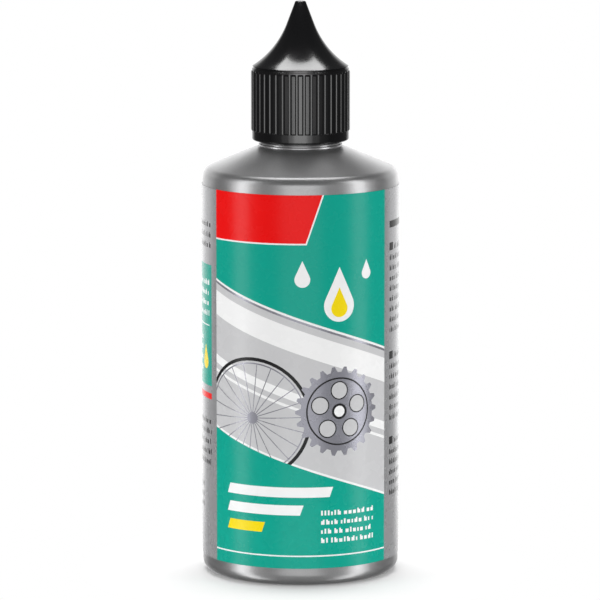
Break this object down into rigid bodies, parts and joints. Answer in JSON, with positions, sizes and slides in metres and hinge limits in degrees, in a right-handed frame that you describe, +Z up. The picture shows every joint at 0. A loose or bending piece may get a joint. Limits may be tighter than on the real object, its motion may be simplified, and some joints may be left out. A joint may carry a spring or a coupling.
{
  "type": "bicycle chain lubricant bottle",
  "caption": "Round squeeze bottle of chain lubricant with a sloped shoulder, a wraparound label, a dropper insert and a ribbed screw cap with a hollow pointed cone.",
  "frame": {"origin": "middle of the standing ring, on the surface that the bottle stands on", "axes": "+Z up along the bottle's axis, label front facing -Y, label seam at +Y"},
  "size_m": [0.043, 0.043, 0.1249],
  "materials": {
    "silver_bottle": "satin silver-pigmented polyethylene",
    "label_film": "printed film with a satin gloss",
    "natural_dropper": "natural low-density polyethylene",
    "black_cap": "moulded black polypropylene with a soft gloss",
    "lubricant": "clear amber oil"
  },
  "bodies": {
    "container": {"bottle": "silver_bottle", "label": "label_film", "dropper_plug": "natural_dropper", "lubricant": "lubricant"},
    "closure": {"cap": "black_cap"}
  },
  "joints": [
    {"name": "cap_lift", "type": "slide", "parent": "container", "child": "closure", "axis": [0, 0, 1], "range_m": [0, 0.04]}
  ]
}
